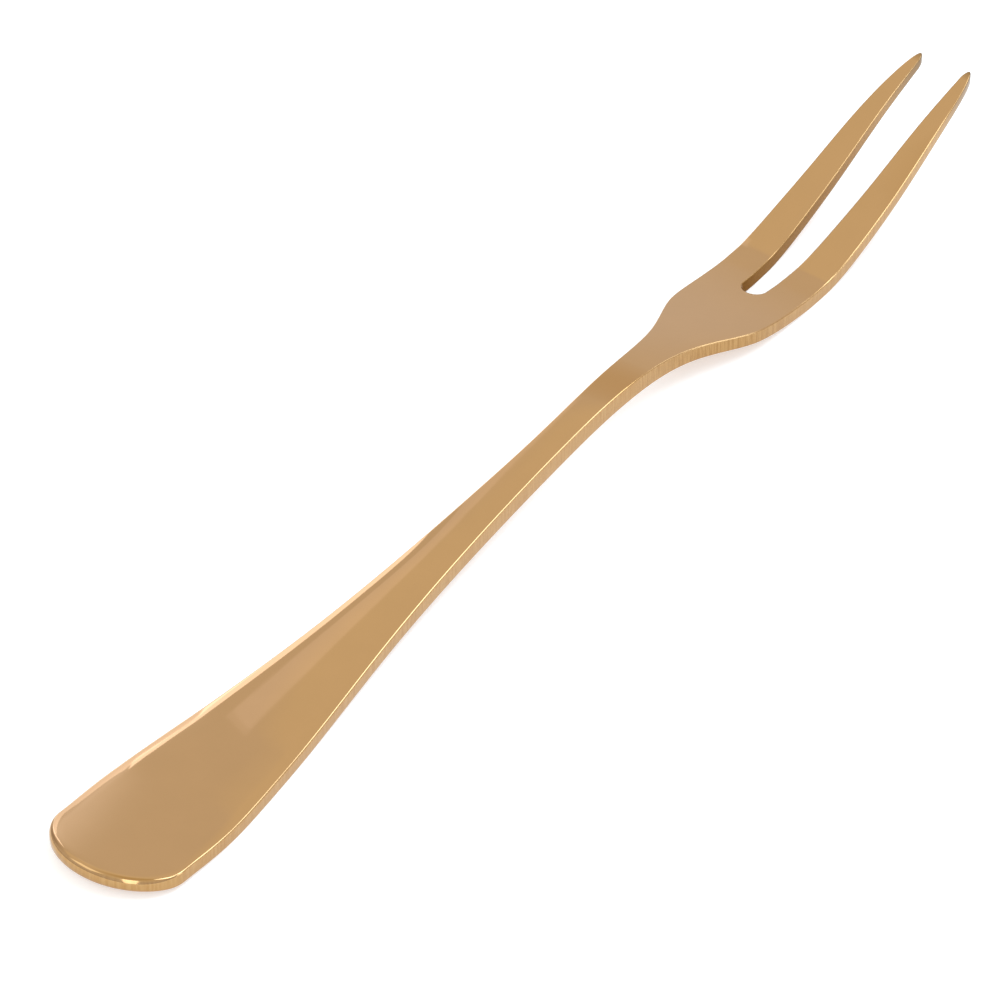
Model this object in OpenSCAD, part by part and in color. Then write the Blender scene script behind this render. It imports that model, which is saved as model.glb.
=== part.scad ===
// Small table fork with a slot between its tines, cut from one strip of sheet metal
// and pressed to shape. X runs from the handle's end to the tips, Z is up, the fork
// rests on z = 0 and the origin lies under the middle of its length and width.
//
// The plan outline and the side profile are each a smooth curve through a few
// stations. The solid is what the two have in common: the strip seen from the side,
// cut to the outline seen from above, less the slot.

/* [Lengths along the fork] */
// From the end of the handle to the narrowest point of the neck
handle_len = 75.1; // [60:0.1:110]
// From the narrowest point of the neck to the root of the slot
shoulder_len = 29.4; // [22:0.1:45]
// Depth of the slot, from its root to the tips
tine_len = 35.1; // [24:0.1:50]
// Length of the tines that draws in to the tips
tine_taper_len = 27.2; // [15:0.1:32]
// Length of the handle's round end
handle_round_len = 5.2; // [3:0.1:9]
// Length of the small curve on the inner side of each tip
tip_round_len = 1.2; // [0.5:0.1:2]

/* [Widths] */
// Widest part of the handle
handle_w = 14; // [10:0.1:20]
// Narrowest part of the neck
neck_w = 3.1; // [2:0.1:5]
// Palm, across the roots of both tines
palm_w = 10.5; // [8:0.1:16]
// Slot at its root
slot_root_w = 2.5; // [1.5:0.05:3.5]
// Slot where the tines end
slot_mouth_w = 4.9; // [3.6:0.05:5.4]
// From the point of one tine to the point of the other
tip_spacing = 5.7; // [5.6:0.05:7.5]

/* [Metal] */
// Thickness of the handle
handle_t = 1.4; // [0.8:0.05:2]
// Thickness of the neck, left thicker for stiffness
neck_t = 1.9; // [1.2:0.05:3]
// Thickness of the palm and the roots of the tines
palm_t = 1.35; // [0.8:0.05:2]
// Thickness of the tips
tip_t = 0.95; // [0.5:0.05:1.5]

/* [Side profile] */
// Underside of the handle's end above the table
end_rise = 0.8; // [0.3:0.1:2]
// Underside of the arched neck above the table
neck_rise = 3.3; // [1.5:0.1:8]
// Underside of the tips above the table
tip_rise = 7.9; // [4:0.05:14]
// From the narrowest point of the neck to the top of the arch
crest_lead = 7.1; // [4:0.1:11]
// From the root of the slot to the lowest point of the palm
foot_lead = 4.6; // [2:0.1:8]

/* [Hidden] */

// Spacing of the points along both curves
sample_step = 1;
// Points on a quarter turn of the round ends and the slot's root
round_points = 12;
// How far the side profile runs past the outline that cuts it
overrun = 2;
// Fullness of the curve by which the outer edge of a tine draws in
tine_curve = 1.45;

fork_len = handle_len + shoulder_len + tine_len;
slot_root_x = fork_len - tine_len;
crest_x = handle_len + crest_lead;
foot_x = slot_root_x + foot_lead;
tip_y = tip_spacing / 2;
slot_root_r = slot_root_w / 2;
// Last stretch of a tine's outer edge, which is sampled closely, as a share of the taper
nose_share = 0.08;
nose_len = nose_share * tine_taper_len;

// Handle edge: [share of the handle's length, share of its widening over the neck]
handle_shares = [[0.09, 0.993], [0.14, 0.998], [0.24, 0.885], [0.37, 0.655], [0.53, 0.365],
                 [0.68, 0.175], [0.84, 0.05], [1, 0]];
// Shoulder edge: [share of the shoulder's length, share of the palm's widening over the neck]
shoulder_shares = [[0.275, 0.04], [0.44, 0.118], [0.58, 0.325], [0.685, 0.62],
                   [0.785, 0.89], [0.885, 0.985], [1.02, 1], [1.27, 1]];
// Underside of the handle's end, which lifts off the table: [share of the way to the
// crest, share of end_rise]. The last station lies just under the table, so that the
// rise ends in a flat land.
end_shares = [[0, 1], [0.1, 0.3], [0.24, -0.075]];
// Underside from that land up to the crest: [share of the way, share of neck_rise]
arch_shares = [[0.39, 0.1], [0.55, 0.345], [0.72, 0.595], [0.87, 0.83], [1, 1]];
// Underside from the crest down to the foot: [share of the way, share of neck_rise]
fall_shares = [[0.26, 0.865], [0.52, 0.525], [0.74, 0.205], [0.91, 0.03]];
// Underside from the foot up to the tips: [share of the way, share of tip_rise]
sweep_shares = [[0, -0.005], [0.1, 0.02], [0.27, 0.16], [0.47, 0.38], [0.73, 0.72], [1, 1]];
// Where the handle starts to thicken, as a share of its length
thicken_share = 0.32;
// Where the shoulder has thinned to the palm, as a share of its length
thin_share = 0.95;

// Width of the strip, before its ends are rounded
width_stations = concat(
    [for (s = handle_shares) [s.x * handle_len, neck_w + (handle_w - neck_w) * s.y]],
    [for (s = shoulder_shares) [handle_len + s.x * shoulder_len, neck_w + (palm_w - neck_w) * s.y]]);

// Height of the underside over the table
height_stations = concat(
    [for (s = end_shares) [s.x * crest_x, s.y * end_rise]],
    [for (s = arch_shares) [s.x * crest_x, s.y * neck_rise]],
    [for (s = fall_shares) [crest_x + s.x * (foot_x - crest_x), s.y * neck_rise]],
    [for (s = sweep_shares) [foot_x + s.x * (fork_len - foot_x), s.y * tip_rise]]);

// A smooth curve through stations: a cubic from each station to the next, with the
// same slope and the same bend where they meet, and no bend at the two ends.
function gap(p, i) = p[i + 1].x - p[i].x;
function secant(p, i) = (p[i + 1].y - p[i].y) / gap(p, i);
function pivot(p, i, before) = 2 * (gap(p, i - 1) + gap(p, i)) - gap(p, i - 1) * before.x;

// Forward pass: [weight, value] at each inner station, from the one before it
function forward(p, i, before) =
    i > len(p) - 2 ? [] :
    let (here = [gap(p, i) / pivot(p, i, before),
                 (6 * (secant(p, i) - secant(p, i - 1)) - gap(p, i - 1) * before.y)
                 / pivot(p, i, before)])
    concat([here], forward(p, i + 1, here));

// Back pass: the bend at each station, from the last to the first
function backward(pass, i, after) =
    i < 0 ? [0] :
    let (here = pass[i].y - pass[i].x * after)
    concat(backward(pass, i - 1, here), [here]);

function bends(p) =
    let (pass = forward(p, 1, [0, 0]))
    concat(backward(pass, len(pass) - 1, 0), [0]);

// The stretch that x lies in
function stretch(p, x, i = 0) =
    i < len(p) - 2 && x > p[i + 1].x ? stretch(p, x, i + 1) : i;

// Height of the curve at x, level before the first station and after the last
function curve(p, bend, x) =
    let (at = max(p[0].x, min(x, p[len(p) - 1].x)),
         i = stretch(p, at),
         h = gap(p, i),
         b = (at - p[i].x) / h,
         a = 1 - b)
    a * p[i].y + b * p[i + 1].y
    + ((pow(a, 3) - a) * bend[i] + (pow(b, 3) - b) * bend[i + 1]) * h * h / 6;

width_bends = bends(width_stations);
height_bends = bends(height_stations);

// From 0 to 1 with no jump in slope or bend
function ease(t) =
    let (c = max(0, min(t, 1)))
    pow(c, 3) * (10 - 15 * c + 6 * c * c);

// Quarter round: from 0 at the end to 1 where the round is over
function quarter(t) = sqrt(max(0, 1 - pow(1 - max(0, min(t, 1)), 2)));

// Half the fork's width at x: the curve, rounded at the handle's end and drawn in to
// the tips
function outer_y(x) =
    let (full = curve(width_stations, width_bends, x) / 2 * quarter(x / handle_round_len),
         along = max(0, x - fork_len + tine_taper_len) / tine_taper_len)
    tip_y + (full - tip_y) * sqrt(max(0, 1 - pow(along, tine_curve)));

// Half the slot's width at x: a round root, straight flanks that open towards the
// mouth, and a small curve that takes each flank into its tine's point
function slot_y(x) =
    let (flank = slot_root_r + (slot_mouth_w / 2 - slot_root_r) * (x - slot_root_x) / tine_len,
         to_tip = tip_y - (tip_y - flank) * quarter((fork_len - x) / tip_round_len))
    to_tip * quarter((x - slot_root_x) / slot_root_r);

// Thickness of the metal at x, square to its surface
function thick(x) =
    let (from = thicken_share * handle_len,
         rise = ease((x - from) / (handle_len - from)),
         fall = ease((x - handle_len) / (thin_share * shoulder_len)),
         draw = pow(max(0, x - slot_root_x) / tine_len, 2))
    handle_t + (neck_t - handle_t) * rise - (neck_t - palm_t) * fall - (palm_t - tip_t) * draw;

// Height of the underside, which is flat where it rests
function under_z(x) = max(0, curve(height_stations, height_bends, x));

// Height of the top: the thickness is taken square to the underside's slope
function top_z(x) =
    let (slope = (under_z(x + sample_step / 2) - under_z(x - sample_step / 2)) / sample_step)
    under_z(x) + thick(x) * sqrt(1 + slope * slope);

// Even steps from one place to another, no longer than sample_step
function even_steps(from, to) =
    let (count = ceil(abs(to - from) / sample_step))
    [for (k = [0:count]) from + (to - from) * k / count];

// Steps that start small, as a round end needs: from 0 to the length of the round
function round_steps(len) =
    [for (k = [0:round_points - 1]) len * (1 - cos(90 * k / round_points))];

// Places along the outer edge, from the handle's end to the tip
outer_xs = concat(
    round_steps(handle_round_len),
    even_steps(handle_round_len, fork_len - nose_len),
    [for (k = [round_points - 1:-1:0]) fork_len - round_steps(nose_len)[k]]);

// Places along the slot's flank, from the tip back to its root
flank_xs = concat(
    [for (d = round_steps(tip_round_len)) if (d > 0) fork_len - d],
    even_steps(fork_len - tip_round_len, slot_root_x + slot_root_r),
    [for (k = [round_points - 1:-1:1]) slot_root_x + round_steps(slot_root_r)[k]]);

module outline() {
    outer = [for (x = outer_xs) [x, outer_y(x)]];
    flank = [for (x = flank_xs) [x, slot_y(x)]];
    far_side = [for (k = [len(flank) - 1:-1:0]) [flank[k].x, -flank[k].y]];
    back = [for (k = [len(outer) - 1:-1:1]) [outer[k].x, -outer[k].y]];
    polygon(concat(outer, flank, [[slot_root_x, 0]], far_side, back));
}

module side_profile() {
    xs = even_steps(-overrun, fork_len + overrun);
    under = [for (x = xs) [x, under_z(x)]];
    top = [for (k = [len(xs) - 1:-1:0]) [xs[k], top_z(xs[k])]];
    polygon(concat(under, top));
}

module fork() {
    color("burlywood")
    translate([-fork_len / 2, 0, 0])
    intersection() {
        rotate([90, 0, 0])
            linear_extrude(handle_w + palm_w, center = true) side_profile();
        translate([0, 0, -overrun])
            linear_extrude(tip_rise + neck_rise + neck_t + 2 * overrun) outline();
    }
}

fork();
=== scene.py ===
import math

import bpy
import numpy as np
from mathutils import Matrix, Vector


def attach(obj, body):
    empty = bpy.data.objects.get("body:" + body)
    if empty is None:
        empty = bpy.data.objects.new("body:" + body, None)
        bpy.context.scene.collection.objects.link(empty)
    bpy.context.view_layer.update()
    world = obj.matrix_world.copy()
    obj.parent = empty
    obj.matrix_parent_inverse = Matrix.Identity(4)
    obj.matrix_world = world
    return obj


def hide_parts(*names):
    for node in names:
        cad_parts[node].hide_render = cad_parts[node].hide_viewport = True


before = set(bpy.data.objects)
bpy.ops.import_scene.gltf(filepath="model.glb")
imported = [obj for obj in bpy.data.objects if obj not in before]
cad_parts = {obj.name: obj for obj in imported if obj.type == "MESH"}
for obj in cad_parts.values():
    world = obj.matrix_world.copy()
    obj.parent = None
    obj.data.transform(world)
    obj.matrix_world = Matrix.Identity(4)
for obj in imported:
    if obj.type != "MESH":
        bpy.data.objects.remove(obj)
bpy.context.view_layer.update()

# A small table fork cut from one strip of gold-toned metal and polished, lying on a pale
# table under soft light. X runs from the handle's end to the tips and Z is up.

MM = 0.001

# Sizes in millimetres, the same ones as the solid has. x is counted from the handle's end.
HANDLE_LEN = 75.1
SHOULDER_LEN = 29.4
TINE_LEN = 35.1
TINE_TAPER_LEN = 27.2
HANDLE_ROUND_LEN = 5.2
TIP_ROUND_LEN = 1.2
HANDLE_W = 14.0
NECK_W = 3.1
PALM_W = 10.5
SLOT_ROOT_W = 2.5
SLOT_MOUTH_W = 4.9
TIP_SPACING = 5.7
HANDLE_T = 1.4
NECK_T = 1.9
PALM_T = 1.35
TIP_T = 0.95
END_RISE = 0.8
NECK_RISE = 3.3
TIP_RISE = 7.9
CREST_LEAD = 7.1
FOOT_LEAD = 4.6
TINE_CURVE = 1.45
THICKEN_SHARE = 0.32
THIN_SHARE = 0.95

FORK_LEN = HANDLE_LEN + SHOULDER_LEN + TINE_LEN
SLOT_ROOT_X = HANDLE_LEN + SHOULDER_LEN
CREST_X = HANDLE_LEN + CREST_LEAD
FOOT_X = SLOT_ROOT_X + FOOT_LEAD
TIP_Y = TIP_SPACING / 2
SLOT_ROOT_R = SLOT_ROOT_W / 2

# Stations of the outline and of the underside, as shares of the lengths and rises above
HANDLE_SHARES = [(0.09, 0.993), (0.14, 0.998), (0.24, 0.885), (0.37, 0.655), (0.53, 0.365),
                 (0.68, 0.175), (0.84, 0.05), (1, 0)]
SHOULDER_SHARES = [(0.275, 0.04), (0.44, 0.118), (0.58, 0.325), (0.685, 0.62),
                   (0.785, 0.89), (0.885, 0.985), (1.02, 1), (1.27, 1)]
END_SHARES = [(0, 1), (0.1, 0.3), (0.24, -0.075)]
ARCH_SHARES = [(0.39, 0.1), (0.55, 0.345), (0.72, 0.595), (0.87, 0.83), (1, 1)]
FALL_SHARES = [(0.26, 0.865), (0.52, 0.525), (0.74, 0.205), (0.91, 0.03)]
SWEEP_SHARES = [(0, -0.005), (0.1, 0.02), (0.27, 0.16), (0.47, 0.38), (0.73, 0.72), (1, 1)]

# What the polished surface has beyond the solid
RIM_R = 0.15            # rounding of the long rims
END_RIM_R = 0.62        # rounding of the rims round the handle's end
END_RIM_LEN = 5.6       # stretch over which the end's rounding fades to the long rims'
RIM_METAL_SHARE = 0.49  # a rim is never more of the metal's thickness than this
RIM_REACH_SHARE = 0.7   # nor more of the way to the middle line than this
CROWN_TILT = 0.07       # how far the top face leans outwards at its edges, in radians
NECK_CROWN = 0.35       # share of the crown that the narrow neck keeps
CROWN_FADE = 1.2        # half width beyond the neck's at which crown and roll are full
ROLL_W = 1.3            # width of the soft roll just inside the rims
ROLL_DROP = 0.06        # depth of that roll
PALM_FLATNESS = 0.6     # share of the crown that the palm and tines lack
PALM_ROLL_LOSS = 0.9    # share of the roll that they lack
LAND_BLEND = 0.03       # softens the lines where the underside meets the table
SLOPE_STEP = 1.0        # stretch over which the underside's slope is taken

# Places and counts of the skin's points
MIDDLE_START = 6.5      # where the middle line starts
MIDDLE_STOP = 0.9       # how far short of the tips it stops
BRANCH_LEAD = 2.6       # from the place where it forks to the slot's root
NOSE_LEN = 2.4          # end of a tine, where the points crowd towards the tip
CAP_POINTS = 30         # along the handle's round end
TRUNK_POINTS = 281      # from there to the place where the middle line forks
ROOT_POINTS = 18        # from there to the slot's flanks, and along half the slot's root
TINE_POINTS = 91        # from there to the nose
NOSE_POINTS = 22        # along the nose
TOP_RINGS = 22          # from the middle line over the top face
TOP_CROWDING = 1.6      # power by which they lie closer towards the rim
UPPER_RIM_RINGS = 9
WALL_RINGS = 4
LOWER_RIM_RINGS = 7
UNDER_RINGS = 14
MERGE_DECIMALS = 5      # points that agree to so many decimals are one


def stations_of(shares, start, length, base, height):
    """Stations from shares: start + share * length, base + share * height."""
    return [(start + a * length, base + b * height) for a, b in shares]


def smooth_curve(stations):
    """A cubic from each station to the next with the same slope and bend where they meet,
    and no bend at the two ends; it stays level outside the first and last station."""
    x, y = np.array(stations, float).T
    gap = np.diff(x)
    secant = np.diff(y) / gap
    inner = np.arange(1, len(x) - 1)
    system = np.eye(len(x))
    system[inner, inner - 1] = gap[:-1]
    system[inner, inner] = 2 * (gap[:-1] + gap[1:])
    system[inner, inner + 1] = gap[1:]
    bend = np.linalg.solve(system, np.concatenate([[0], 6 * np.diff(secant), [0]]))

    def curve(at):
        at = np.clip(at, x[0], x[-1])
        i = np.clip(np.searchsorted(x, at, side="right") - 1, 0, len(x) - 2)
        b = (at - x[i]) / gap[i]
        a = 1 - b
        return (a * y[i] + b * y[i + 1]
                + ((a**3 - a) * bend[i] + (b**3 - b) * bend[i + 1]) * gap[i]**2 / 6)

    return curve


strip_width = smooth_curve(
    stations_of(HANDLE_SHARES, 0, HANDLE_LEN, NECK_W, HANDLE_W - NECK_W)
    + stations_of(SHOULDER_SHARES, HANDLE_LEN, SHOULDER_LEN, NECK_W, PALM_W - NECK_W))
under_curve = smooth_curve(
    stations_of(END_SHARES, 0, CREST_X, 0, END_RISE)
    + stations_of(ARCH_SHARES, 0, CREST_X, 0, NECK_RISE)
    + stations_of(FALL_SHARES, CREST_X, FOOT_X - CREST_X, 0, NECK_RISE)
    + stations_of(SWEEP_SHARES, FOOT_X, FORK_LEN - FOOT_X, 0, TIP_RISE))


def ease(t):
    """From 0 to 1 with no jump in slope or bend: t^3 (10 - 15 t + 6 t^2)."""
    t = np.clip(t, 0, 1)
    return t**3 * (10 - 15 * t + 6 * t * t)


def quarter(t):
    """Quarter round: the height of a circle from its rim, t = 0, to its middle, t = 1."""
    return np.sqrt(np.clip(1 - (1 - np.clip(t, 0, 1))**2, 0, 1))


def outer_y(x):
    """Half the fork's width: half the strip, rounded at the handle's end, then drawn in to
    the tips by a curve that starts level and ends upright."""
    full = strip_width(x) / 2 * quarter(x / HANDLE_ROUND_LEN)
    along = np.clip((x - FORK_LEN + TINE_TAPER_LEN) / TINE_TAPER_LEN, 0, 1)
    return TIP_Y + (full - TIP_Y) * np.sqrt(1 - along**TINE_CURVE)


def slot_y(x):
    """Half the slot's width: a round root, straight flanks that open towards the mouth and a
    small curve into each tine's point."""
    flank = SLOT_ROOT_R + (SLOT_MOUTH_W / 2 - SLOT_ROOT_R) * (x - SLOT_ROOT_X) / TINE_LEN
    to_tip = TIP_Y - (TIP_Y - flank) * quarter((FORK_LEN - x) / TIP_ROUND_LEN)
    return to_tip * quarter((x - SLOT_ROOT_X) / SLOT_ROOT_R)


def thickness(x):
    """Metal thickness: the handle's, eased up to the neck's, eased down to the palm's, then
    less by the square of the way along the tines."""
    start = THICKEN_SHARE * HANDLE_LEN
    rise = ease((x - start) / (HANDLE_LEN - start))
    fall = ease((x - HANDLE_LEN) / (THIN_SHARE * SHOULDER_LEN))
    draw = (np.clip(x - SLOT_ROOT_X, 0, None) / TINE_LEN)**2
    return HANDLE_T + (NECK_T - HANDLE_T) * rise - (NECK_T - PALM_T) * fall - (PALM_T - TIP_T) * draw


def under_z(x):
    """Height of the underside: the curve c held above the table, (c + sqrt(c^2 + b^2)) / 2."""
    c = under_curve(x)
    return (c + np.sqrt(c * c + LAND_BLEND**2)) / 2


def top_z(x, y, inset, reach):
    """Height of the top face: the thickness square to the slope, over the underside, crowned
    across the width as a parabola, less a soft roll near the rims. The roll is a parabola
    too, and ends at the middle line where the metal is narrow. Both fade towards the palm,
    which is pressed flatter."""
    slope = (under_z(x + SLOPE_STEP / 2) - under_z(x - SLOPE_STEP / 2)) / SLOPE_STEP
    half = strip_width(x) / 2
    fullness = ease((half - NECK_W / 2) / CROWN_FADE)
    palm = ease((x - HANDLE_LEN) / SHOULDER_LEN)
    tilt = CROWN_TILT * (NECK_CROWN + (1 - NECK_CROWN) * fullness) * (1 - PALM_FLATNESS * palm)
    crown = tilt * np.clip(half - y * y / half, 0, None) / 2
    roll_w = np.minimum(ROLL_W, reach)
    drop = ROLL_DROP * fullness * (1 - PALM_ROLL_LOSS * palm)
    roll = drop * roll_w / ROLL_W * np.clip(1 - inset / roll_w, 0, None)**2
    return under_z(x) + thickness(x) * np.sqrt(1 + slope * slope) + crown - roll


def quarter_turn(count):
    """Angles from 0 to a right angle in even steps."""
    return np.linspace(0, np.pi / 2, count)


def whole_loop(outer, slot):
    """One half's outer edge and slot edge, then their mirror images on the way back, with
    the points that lie on y = 0 only once."""
    mirror = np.array([1, -1])
    return np.concatenate([outer, slot, (slot * mirror)[-2::-1], (outer * mirror)[:0:-1]])


def edge_loop():
    """The outline as one closed loop of points, and for each the point of the middle line
    that its column of the skin runs to. The middle line follows y = 0 and forks into one
    line per tine. Returns edges, middle points and which edges are the slot's."""
    branch = SLOT_ROOT_X - BRANCH_LEAD
    split = SLOT_ROOT_X + SLOT_ROOT_R
    last = FORK_LEN - MIDDLE_STOP
    cap = HANDLE_ROUND_LEN * (1 - np.cos(quarter_turn(CAP_POINTS)))
    trunk = np.linspace(HANDLE_ROUND_LEN, branch, TRUNK_POINTS)
    branching = np.linspace(branch, split, ROOT_POINTS)
    nose = FORK_LEN - NOSE_LEN * (1 - np.sin(quarter_turn(NOSE_POINTS)))
    tine = np.concatenate([np.linspace(split, FORK_LEN - NOSE_LEN, TINE_POINTS), nose[1:]])
    root = SLOT_ROOT_X + SLOT_ROOT_R * (1 - np.cos(quarter_turn(ROOT_POINTS)))

    outer_x = np.concatenate([cap, trunk[1:], branching[1:], tine[1:]])
    outer = np.stack([outer_x, outer_y(outer_x)], 1)
    slot_x = np.concatenate([tine[-2:0:-1], root[::-1]])
    slot = np.stack([slot_x, slot_y(slot_x)], 1)
    slot[-1, 1] = 0

    def middle(x):
        """Half way between a tine's edges, joined to y = 0 by t^2 (3 - 2 t)."""
        mid = (outer_y(np.maximum(x, split)) + slot_y(np.maximum(x, split))) / 2
        t = np.clip((x - branch) / (split - branch), 0, 1)
        return np.stack([x, mid * t * t * (3 - 2 * t)], 1)

    outer_mid = middle(np.clip(outer_x, MIDDLE_START, last))
    slot_mid = middle(np.clip(np.concatenate([tine[-2:0:-1], branching[::-1]]), 0, last))
    edges = whole_loop(outer, slot)
    in_slot = np.zeros(len(edges))
    in_slot[len(outer):len(outer) + 2 * len(slot) - 1] = 1
    return edges, whole_loop(outer_mid, slot_mid), in_slot


def skin():
    """The fork's whole skin as a grid of points: once round the outline, and for each place
    there a column from the middle line over the top face, round the rim, down the cut wall,
    round the lower rim and back to the middle line underneath. A rim is a quarter circle:
    inset r (1 - sin a), drop r (1 - cos a)."""
    edges, mids, in_slot = edge_loop()
    along = np.roll(edges, -1, 0) - np.roll(edges, 1, 0)
    outward = np.stack([-along[:, 1], along[:, 0]], 1)
    outward /= np.linalg.norm(outward, axis=1, keepdims=True)
    reach = np.abs(((edges - mids) * outward).sum(1))
    step = (mids - edges) / reach[:, None]
    x = edges[:, 0]
    near_end = 1 - ease(x / END_RIM_LEN)
    rim = RIM_R + (np.minimum(END_RIM_R, thickness(x) * RIM_METAL_SHARE) - RIM_R) * near_end
    rim = np.minimum(rim, RIM_REACH_SHARE * reach)
    rings = []
    on_wall = []

    def add_ring(place, height, wall):
        rings.append(np.column_stack([place, height]))
        on_wall.append(np.full(len(x), wall))

    def top_ring(inset, drop, wall):
        place = edges + step * inset[:, None]
        add_ring(place, top_z(place[:, 0], place[:, 1], inset, reach) - drop, wall)

    def under_ring(inset, drop, wall):
        place = edges + step * inset[:, None]
        add_ring(place, under_z(place[:, 0]) + drop, wall)

    for share in np.linspace(1, 0, TOP_RINGS)**TOP_CROWDING:
        top_ring(rim + (reach - rim) * share, 0, 0)
    for angle in quarter_turn(UPPER_RIM_RINGS)[1:]:
        top_ring(rim * (1 - math.sin(angle)), rim * (1 - math.cos(angle)), math.sin(angle))
    upper = rings[-1][:, 2]
    lower = under_z(x) + rim
    for share in np.linspace(0, 1, WALL_RINGS)[1:]:
        add_ring(edges, upper + (lower - upper) * share, 1)
    for angle in np.linspace(np.pi / 2, 0, LOWER_RIM_RINGS)[1:]:
        under_ring(rim * (1 - math.sin(angle)), rim * (1 - math.cos(angle)), math.sin(angle))
    for share in np.linspace(0, 1, UNDER_RINGS)[1:]:
        under_ring(rim + (reach - rim) * share, 0, 0)

    grid = np.stack(rings, 1)
    run = np.concatenate([[0], np.cumsum(np.linalg.norm(np.diff(edges, axis=0), axis=1))])
    rows = grid.shape[1]
    marks = {
        "wall": np.stack(on_wall, 1),
        "slot_side": np.repeat(in_slot[:, None], rows, 1),
        "edge_run": np.repeat(run[:, None], rows, 1),
    }
    return grid, marks


def grid_faces(grid):
    """Faces of a grid that closes on itself round its first side. Points that coincide are
    made one; a quad that loses a corner by it becomes a triangle, and one that loses two
    goes. Returns the kept points' places in the grid, quads and triangles."""
    count, rows = grid.shape[:2]
    keys = np.round(grid.reshape(-1, 3), MERGE_DECIMALS)
    _, first, same = np.unique(keys, axis=0, return_index=True, return_inverse=True)
    number = np.arange(count * rows).reshape(count, rows)
    after = np.roll(number, -1, 0)
    quads = np.stack([number[:, :-1], after[:, :-1], after[:, 1:], number[:, 1:]], -1).reshape(-1, 4)
    quads = same.reshape(-1)[quads]
    lost = quads == np.roll(quads, -1, 1)
    crossed = (quads[:, 0] == quads[:, 2]) | (quads[:, 1] == quads[:, 3])
    whole = (lost.sum(1) == 0) & ~crossed
    three = (lost.sum(1) == 1) & ~crossed
    order = np.argmax(lost[three], 1)
    picked = (order[:, None] + np.array([1, 2, 3])) % 4
    triangles = np.take_along_axis(quads[three], picked, 1)
    return first, quads[whole], triangles


def place_in_scene(name, data):
    """A new object of that name and data, at the origin."""
    placed = bpy.data.objects.new(name, data)
    bpy.context.scene.collection.objects.link(placed)
    return placed


def build_fork():
    """Puts the skin into a mesh, in metres and in the frame of the solid."""
    grid, marks = skin()
    first, quads, triangles = grid_faces(grid)
    points = (grid.reshape(-1, 3)[first] - np.array([FORK_LEN / 2, 0, 0])) * MM
    mesh = bpy.data.meshes.new("polished_fork")
    mesh.from_pydata(points, [], quads.tolist() + triangles.tolist())
    for name, values in marks.items():
        layer = mesh.attributes.new(name, "FLOAT", "POINT")
        layer.data.foreach_set("value", values.reshape(-1)[first].astype(np.float32))
    mesh.update()
    mesh.shade_smooth()
    return place_in_scene("polished_fork", mesh)


class Wire:
    """An output of a node. Arithmetic on it adds Math nodes to the same tree."""

    def __init__(self, socket):
        self.socket = socket

    def math(self, operation, a, b):
        return Bench(self.socket.id_data).node("ShaderNodeMath", {"operation": operation}, {0: a, 1: b})

    def __add__(self, other):
        return self.math("ADD", self, other)

    __radd__ = __add__

    def __sub__(self, other):
        return self.math("SUBTRACT", self, other)

    def __rsub__(self, other):
        return self.math("SUBTRACT", other, self)

    def __mul__(self, other):
        return self.math("MULTIPLY", self, other)

    __rmul__ = __mul__

    def __truediv__(self, other):
        return self.math("DIVIDE", self, other)

    def __rtruediv__(self, other):
        return self.math("DIVIDE", other, self)

    def __pow__(self, other):
        return self.math("POWER", self, other)

    def __rpow__(self, other):
        return self.math("POWER", other, self)

    def held(self):
        """The value held between 0 and 1."""
        return self.math("MINIMUM", self.math("MAXIMUM", self, 0.0), 1.0)

    def sharper(self, contrast):
        """Contrast times the distance from a half, over a half, held between 0 and 1."""
        return (self * contrast + (0.5 - contrast / 2)).held()

    def rise(self, start, steepness):
        """0 up to start, then up to 1 at the given steepness."""
        return ((self - start) * steepness).held()


class Bench:
    """Makes nodes in one tree."""

    def __init__(self, tree):
        self.tree = tree

    def node(self, kind, settings=None, sockets=None, out=0):
        """Adds a node, sets its settings, then its sockets from values or wires, and returns
        the output named by out, or nothing for a node that has none."""
        made = self.tree.nodes.new(kind)
        for name, value in (settings or {}).items():
            setattr(made, name, value)
        for name, value in (sockets or {}).items():
            if isinstance(value, Wire):
                self.tree.links.new(value.socket, made.inputs[name])
            else:
                made.inputs[name].default_value = value
        return Wire(made.outputs[out]) if made.outputs else None

    def attribute(self, name):
        return self.node("ShaderNodeAttribute", {"attribute_name": name}, out="Fac")

    def part_of(self, vector, axis):
        """One of a vector's three numbers."""
        return self.node("ShaderNodeSeparateXYZ", None, {0: vector}, out=axis)

    def noise(self, place, scale, detail, roughness):
        """Soft noise between 0 and 1."""
        return self.node("ShaderNodeTexNoise", None,
                         {"Vector": place, "Scale": scale, "Detail": detail, "Roughness": roughness})

    def blend(self, share, first, second):
        """first where share is 0, second where it is 1."""
        return self.node("ShaderNodeMix", {"data_type": "RGBA"},
                         {"Factor": share, 6: first, 7: second}, out=2)


def cleared_bench(owner):
    """A bench on the emptied tree of a material or a world."""
    owner.use_nodes = True
    owner.node_tree.nodes.clear()
    return Bench(owner.node_tree)


def colour(red, green, blue):
    return (red, green, blue, 1.0)


# Tones of the metal, and the painted shade on the slot's walls
FACE_TONES = (colour(0.60, 0.346, 0.154), colour(0.56, 0.324, 0.144))
CREST_TONE = colour(0.53, 0.28, 0.10)
RIB_TONES = (colour(0.40, 0.213, 0.077), colour(0.49, 0.298, 0.129))
SHOULDER_RIB_TONES = (colour(0.273, 0.137, 0.045), colour(0.44, 0.252, 0.095))
# Painted shade on the slot's walls. It stands for the shadow and the dark reflections between the
# tines, and is darkest just behind the root and paler at the mouth.
SLOT_ROOT_PAINTED_SHADE = colour(0.225, 0.090, 0.010)
SLOT_MOUTH_PAINTED_SHADE = colour(0.42, 0.25, 0.12)
SLOT_DEEP_PAINTED_SHADE = colour(0.14, 0.05, 0.0)
TIP_TONE = colour(0.23, 0.135, 0.06)

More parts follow.
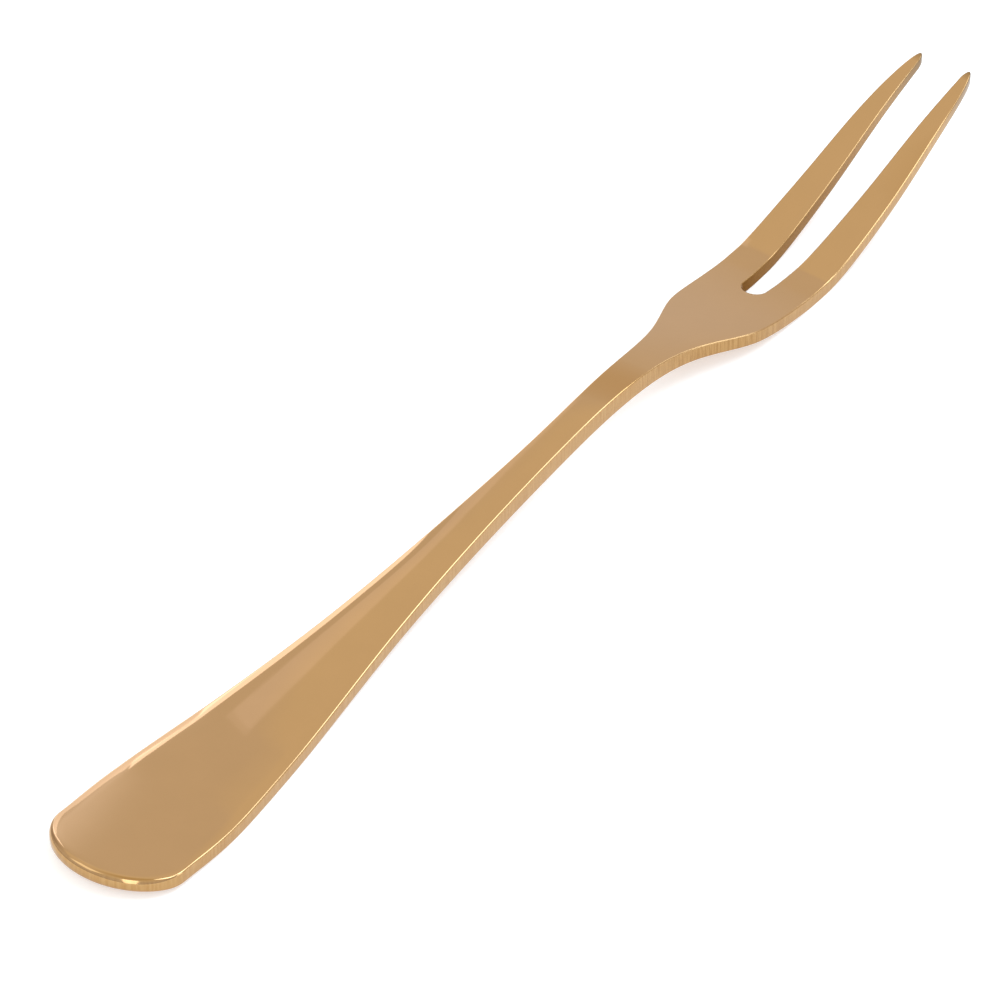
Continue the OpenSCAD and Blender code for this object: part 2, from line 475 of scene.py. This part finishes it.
# How much of each tone shows where it is strongest
CREST_TONE_SHARE = 0.75
WALL_TONE_SHARE = 0.85
SHOULDER_TONE_SHARE = 0.5
# shares of the slot's painted shade and of its darkest part
SLOT_PAINTED_SHADE_SHARE = 0.95
SLOT_DEEP_PAINTED_SHADE_SHARE = 0.5
TIP_WALL_SHARE = 0.75
TIP_FRONT_SHARE = 0.7

# Where the finish changes along the fork, in millimetres from the handle's end
CREST_TONE_X = CREST_X - 0.5
CREST_TONE_REACH = 3.6
SHOULDER_TONE_X = 94.0
SHOULDER_TONE_REACH = 11.0
TIP_TONE_X = FORK_LEN - 7.5
TIP_TONE_FADE = 5.0
TIP_FRONT_LEN = 1.3
DULL_WALL_X = 3.0       # the walls are glossier before this
DULL_WALL_FADE = 9.0

# How the tones of the walls run
RIB_CONTRAST = 3.0
SHOULDER_RIB_CONTRAST = 6.0
WALL_TONE_SLOPE = 1.6   # how fast a wall's tone fades out round its rims
SLOT_SHADE_START = 0.012      # where the slot's painted shade starts, as a share of the tines' length
SLOT_SHADE_STEEPNESS = 60.0   # how sharply it starts
SLOT_SHADE_FADE = 0.35        # share of it that is gone at the tips
SLOT_DEEP_SHADE_FADE = 9.0    # its darkest stretch is over after the tines' length over this
SLOT_SHADE_DULLNESS = 0.9     # share of the metal's mirror that the slot's root lacks, so that its painted shade reads dull
SLOT_SHADE_DULLNESS_FADE = 0.6    # how much less that is at the tips

# Patterns: how fine the noise is, to a metre
CLOUD_SCALE = 230.0
GRAIN_SCALE = (90.0, 2600.0, 2600.0)
RIBS_UP = 260.0
RIBS_ROUND = 4.0        # but this one to a millimetre of the way round the outline
SLOT_RIB_SHIFT = 40.0   # takes the slot's ribs to another place in the noise

# Roughness: the polish itself, then what is added by clouds, by grain and on the walls
POLISH = 0.03
CLOUD_HAZE = 0.02
GRAIN_HAZE = 0.01
WALL_HAZE = 0.07
DULL_WALL_HAZE = 0.13

# Relief: the height of one unit in metres, and how much of it each pattern has
RELIEF_UNIT = 0.000004
GRAIN_RELIEF = 0.12
CLOUD_RELIEF = 0.3
RIB_RELIEF = 0.4
SHOULDER_RIB_RELIEF = 2.6


def along_fork(x, start, length):
    """The way from start as a share of length, both in millimetres, the start counted from
    the handle's end."""
    return (x - (start - FORK_LEN / 2) * MM) / (length * MM)


def hump(x, middle, reach):
    """A parabola that is 1 at the middle and 0 from reach on: 1 - t^2."""
    t = along_fork(x, middle, reach)
    return (1.0 - t * t).held()


def wall_tone(bench, ribs, shoulder):
    """Ribs between two tones, darker and with more contrast on the shoulder."""
    plain = bench.blend(ribs.sharper(RIB_CONTRAST), *RIB_TONES)
    strong = bench.blend(ribs.sharper(SHOULDER_RIB_CONTRAST), *SHOULDER_RIB_TONES)
    return bench.blend(shoulder * SHOULDER_TONE_SHARE, plain, strong)


def slot_painted_shade(bench, past_root):
    """Painted shade for the slot's walls: from the root's dark tone to the mouth's paler one, and
    darkest right behind the root.
    """
    shade_ramp = bench.blend(past_root.held(), SLOT_ROOT_PAINTED_SHADE, SLOT_MOUTH_PAINTED_SHADE)
    deep = (1.0 - past_root * SLOT_DEEP_SHADE_FADE).held()
    return bench.blend(deep * SLOT_DEEP_PAINTED_SHADE_SHARE, shade_ramp, SLOT_DEEP_PAINTED_SHADE)


def gold_finish():
    """Buffed gold tone: nearly a mirror on the faces, with a faint unevenness of tone and of
    gloss and a deeper tone over the crest. The cut walls are ribbed and duller, the slot's
    walls darkened by painted shade and only partly metallic, and the tips dark."""
    material = bpy.data.materials.new("buffed_gold_tone")
    bench = cleared_bench(material)
    place = bench.node("ShaderNodeTexCoord", out="Object")
    x = bench.part_of(place, "X")
    z = bench.part_of(place, "Z")
    wall = bench.attribute("wall")
    slot_side = bench.attribute("slot_side")
    run = bench.attribute("edge_run")

    clouds = bench.noise(place, scale=CLOUD_SCALE, detail=3.0, roughness=0.55)
    grain_place = bench.node("ShaderNodeMapping", None, {"Vector": place, "Scale": GRAIN_SCALE})
    grain = bench.noise(grain_place, scale=1.0, detail=4.0, roughness=0.6)
    rib_place = bench.node("ShaderNodeCombineXYZ", None,
                           {0: run * RIBS_ROUND, 1: z * RIBS_UP, 2: slot_side * SLOT_RIB_SHIFT})
    ribs = bench.noise(rib_place, scale=1.0, detail=4.0, roughness=0.65)

    crest = hump(x, CREST_TONE_X, CREST_TONE_REACH)
    shoulder = hump(x, SHOULDER_TONE_X, SHOULDER_TONE_REACH)
    past_root = along_fork(x, SLOT_ROOT_X, TINE_LEN)
    # Mask of the painted shade on the slot's walls, less towards the tips
    in_slot = wall * slot_side * past_root.rise(SLOT_SHADE_START, SLOT_SHADE_STEEPNESS)
    shade = in_slot * (1.0 - past_root * SLOT_SHADE_FADE)
    near_tip = along_fork(x, TIP_TONE_X, TIP_TONE_FADE).held()
    at_tip = along_fork(x, FORK_LEN - TIP_FRONT_LEN, TIP_FRONT_LEN).held()
    dull_wall = along_fork(x, DULL_WALL_X, DULL_WALL_FADE).held()

    tone = bench.blend(crest * CREST_TONE_SHARE, bench.blend(clouds, *FACE_TONES), CREST_TONE)
    round_rim = (1.0 - (1.0 - wall) * WALL_TONE_SLOPE).held()
    tone = bench.blend(round_rim * WALL_TONE_SHARE, tone, wall_tone(bench, ribs, shoulder))
    # Painted shade on the slot's walls
    tone = bench.blend(shade.held() * SLOT_PAINTED_SHADE_SHARE, tone, slot_painted_shade(bench, past_root))
    tip_share = near_tip * wall * TIP_WALL_SHARE + at_tip * TIP_FRONT_SHARE
    tone = bench.blend(tip_share.held(), tone, TIP_TONE)

    # The slot's painted shade also takes away most of the metal's mirror there
    metallic = 1.0 - (shade * (SLOT_SHADE_DULLNESS - past_root * SLOT_SHADE_DULLNESS_FADE)).held()
    haze = clouds * CLOUD_HAZE + grain * GRAIN_HAZE + wall * (WALL_HAZE + dull_wall * DULL_WALL_HAZE)
    rib_height = wall * ribs * (RIB_RELIEF + shoulder * SHOULDER_RIB_RELIEF)
    height = grain * GRAIN_RELIEF + clouds * CLOUD_RELIEF + rib_height
    relief = bench.node("ShaderNodeBump", None,
                        {"Strength": 1.0, "Distance": RELIEF_UNIT, "Height": height})
    surface = bench.node("ShaderNodeBsdfPrincipled", None,
                         {"Base Color": tone, "Metallic": metallic, "Roughness": POLISH + haze,
                          "Specular IOR Level": 0.0, "Normal": relief})
    bench.node("ShaderNodeOutputMaterial", None, {"Surface": surface})
    return material


def floor_finish():
    """Plain pale matt table top, faintly lit from below as a light table is."""
    material = bpy.data.materials.new("pale_table_top")
    bench = cleared_bench(material)
    surface = bench.node("ShaderNodeBsdfPrincipled", None,
                         {"Base Color": colour(0.75, 0.745, 0.73), "Roughness": 0.7,
                          "Specular IOR Level": 0.2, "Emission Color": colour(1.0, 1.0, 1.0),
                          "Emission Strength": 0.43})
    bench.node("ShaderNodeOutputMaterial", None, {"Surface": surface})
    return material


TABLE_R = 5.0           # in metres, far wider than any view of the fork
TABLE_POINTS = 96


def table_top():
    """A plain flat disc."""
    turn = np.linspace(0, 2 * np.pi, TABLE_POINTS, endpoint=False)
    rim = np.stack([TABLE_R * np.cos(turn), TABLE_R * np.sin(turn), 0 * turn], 1)
    mesh = bpy.data.meshes.new("table_top")
    mesh.from_pydata(rim, [], [list(range(len(rim)))])
    mesh.materials.append(floor_finish())
    place_in_scene("table_top", mesh)


def towards(azimuth, elevation):
    """Unit vector: azimuth from +X towards +Y, elevation above the table, in degrees."""
    a = math.radians(azimuth)
    e = math.radians(elevation)
    return Vector((math.cos(a) * math.cos(e), math.sin(a) * math.cos(e), math.sin(e)))


# The room. Heights are sines of the elevation.
CEILING_LINE = math.sin(math.radians(43.0))
CEILING_SHARPNESS = 25.0    # how sharp the line between wall and ceiling is
UPPER_WALL_START = 0.37
UPPER_WALL_STEEPNESS = 5.3
ZENITH_START = 0.88
ZENITH_STEEPNESS = 9.0
FOOT_STEEPNESS = 4.5        # the walls' dimmer foot is over at one over this
LOWER_WALL = colour(0.88, 0.93, 1.02)
UPPER_WALL = colour(0.87, 0.90, 0.925)
WALL_FOOT = colour(0.72, 0.74, 0.80)
CEILING = colour(0.945, 0.97, 0.92)
ZENITH = colour(0.76, 0.72, 0.52)
WINDOW = colour(1.12, 1.22, 1.45)
OPENING = colour(0.40, 0.37, 0.36)

# Soft spots on the walls: azimuth and elevation, tightness, share and colour
WALL_SPOTS = [(41, 30, 600.0, 1.0, WINDOW), (76, 22, 24.0, 0.8, OPENING), (-90, 27, 60.0, 0.6, OPENING)]


def room_light():
    """Even light from a pale room: cool walls that are dimmer at the foot, a slightly warmer
    ceiling that starts at a clear line and is dimmer straight above, a soft brightening of
    the wall beyond the tines and a soft dark opening in the wall on each side."""
    world = bpy.data.worlds.new("pale_room")
    bpy.context.scene.world = world
    bench = cleared_bench(world)
    look = bench.node("ShaderNodeTexCoord", out="Generated")
    height = bench.part_of(look, "Z")

    def spot(azimuth, elevation, tightness):
        """1 in the given direction, falling off softly round it: a power of the cosine."""
        facing = bench.node("ShaderNodeVectorMath", {"operation": "DOT_PRODUCT"},
                            {0: look, 1: tuple(towards(azimuth, elevation))}, out="Value")
        return facing.held() ** tightness

    walls = bench.blend(height.rise(UPPER_WALL_START, UPPER_WALL_STEEPNESS), LOWER_WALL, UPPER_WALL)
    for azimuth, elevation, tightness, share, tone in WALL_SPOTS:
        walls = bench.blend(spot(azimuth, elevation, tightness) * share, walls, tone)
    walls = bench.blend((1.0 - height * FOOT_STEEPNESS).held(), walls, WALL_FOOT)
    above = bench.blend(height.rise(ZENITH_START, ZENITH_STEEPNESS), CEILING, ZENITH)
    over_line = ((height - CEILING_LINE) * CEILING_SHARPNESS + 0.5).held()
    sky = bench.blend(over_line, walls, above)
    light = bench.node("ShaderNodeBackground", None, {"Color": sky, "Strength": 1.0})
    bench.node("ShaderNodeOutputWorld", None, {"Surface": light})


PANEL_DISTANCE = 6.0        # in metres
SIDE_TINT = (0.60, 0.69, 1.0)
FILL_TINT = (0.45, 0.68, 1.0)
STRIP_TINT = (0.52, 0.60, 1.0)
FRONT_TINT = (0.60, 0.78, 1.0)
END_TINT = (0.75, 0.88, 1.0)
CAMERA_TINT = (0.74, 0.86, 1.0)

# The soft panels: azimuth and elevation, width and height, lean, all in degrees, then tint
# and radiance. Seen by the camera, the side ones show in the top face and the front ones in
# its rims.
PANELS = {
    "side_softbox": (51.0, 31.9, 9, 11, -39, SIDE_TINT, 1.75),
    "side_edge": (46.4, 25.2, 5.2, 12.5, 0, SIDE_TINT, 0.95),
    "side_streak": (42.4, 25.6, 1.4, 3.4, -15, SIDE_TINT, 1.4),
    "side_fill": (50.5, 17, 7, 16, 0, FILL_TINT, 1.2),
    "side_strip": (42.77, 42.28, 3.6, 6.65, 36.5, STRIP_TINT, 0.12),
    "side_strip_core": (43.15, 42.66, 3.3, 5.7, 36.5, STRIP_TINT, 0.13),
    "front_softbox": (-26, 48, 38, 12, -30, FRONT_TINT, 4.4),
    "front_high_softbox": (-55, 62, 18, 26, 19, FRONT_TINT, 5.0),
    "front_low_softbox": (-63, 16, 15, 15, 0, FRONT_TINT, 4.5),
    "front_strip": (-6, 38.5, 18, 5, 0, FRONT_TINT, 2.0),
    "end_softbox": (133, 46, 30, 22, 0, END_TINT, 1.0),
    "camera_softbox": (-155.5, 30, 17, 58, 0, CAMERA_TINT, 2.6),
}


def panel(name, azimuth, elevation, width, height, lean, tint, radiance):
    """A flat soft light far away, facing the fork. Its middle is in the given direction, its
    width and height are angles as seen from the fork, and lean turns its top towards larger
    azimuths, all in degrees."""
    outward = towards(azimuth, elevation)
    aside = towards(azimuth + 90, 0)
    upright = outward.cross(aside)
    tip = math.radians(lean)
    edge_x = aside * math.cos(tip) - upright * math.sin(tip)
    edge_y = upright * math.cos(tip) + aside * math.sin(tip)
    lamp = bpy.data.lights.new(name, "AREA")
    lamp.shape = "RECTANGLE"
    lamp.size = 2 * PANEL_DISTANCE * math.tan(math.radians(width / 2))
    lamp.size_y = 2 * PANEL_DISTANCE * math.tan(math.radians(height / 2))
    lamp.color = tint
    lamp.energy = radiance * math.pi * lamp.size * lamp.size_y
    lit = place_in_scene(name, lamp)
    turn = Matrix((edge_x, edge_y, outward)).transposed().to_4x4()
    lit.matrix_world = Matrix.Translation(outward * PANEL_DISTANCE) @ turn
    lit.visible_camera = False


# The camera, in degrees, metres and millimetres of lens and sensor
CAMERA_AZIMUTH = -54.93
CAMERA_ELEVATION = 37.86
CAMERA_DISTANCE = 0.7
CAMERA_AIM = Vector((-0.0003, 0, 0.004))
LENS_LENGTH = 269.2
SENSOR_WIDTH = 36.0
SHIFT_X = -0.0398
SHIFT_Y = -0.0446
CLIP_START = 0.05
CLIP_END = 50.0


def camera():
    """Looks down at the fork from beside the end of the handle, through a long lens."""
    azimuth = math.radians(CAMERA_AZIMUTH)
    elevation = math.radians(CAMERA_ELEVATION)
    back = Vector((math.sin(azimuth) * math.cos(elevation),
                   -math.cos(azimuth) * math.cos(elevation), math.sin(elevation)))
    lens = bpy.data.cameras.new("camera")
    lens.sensor_width = SENSOR_WIDTH
    lens.lens = LENS_LENGTH
    lens.shift_x = SHIFT_X
    lens.shift_y = SHIFT_Y
    lens.clip_start = CLIP_START
    lens.clip_end = CLIP_END
    eye = place_in_scene("camera", lens)
    eye.location = CAMERA_AIM + back * CAMERA_DISTANCE
    eye.rotation_mode = "QUATERNION"
    eye.rotation_quaternion = (-back).to_track_quat("-Z", "Y")
    bpy.context.scene.camera = eye


camera()
fork = build_fork()
fork.data.materials.append(gold_finish())
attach(fork, "root")
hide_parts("fork")
table_top()
room_light()
for name, settings in PANELS.items():
    panel(name, *settings)

scene = bpy.context.scene
scene.view_settings.view_transform = "Standard"
scene.view_settings.look = "None"

bpy.context.view_layer.update()
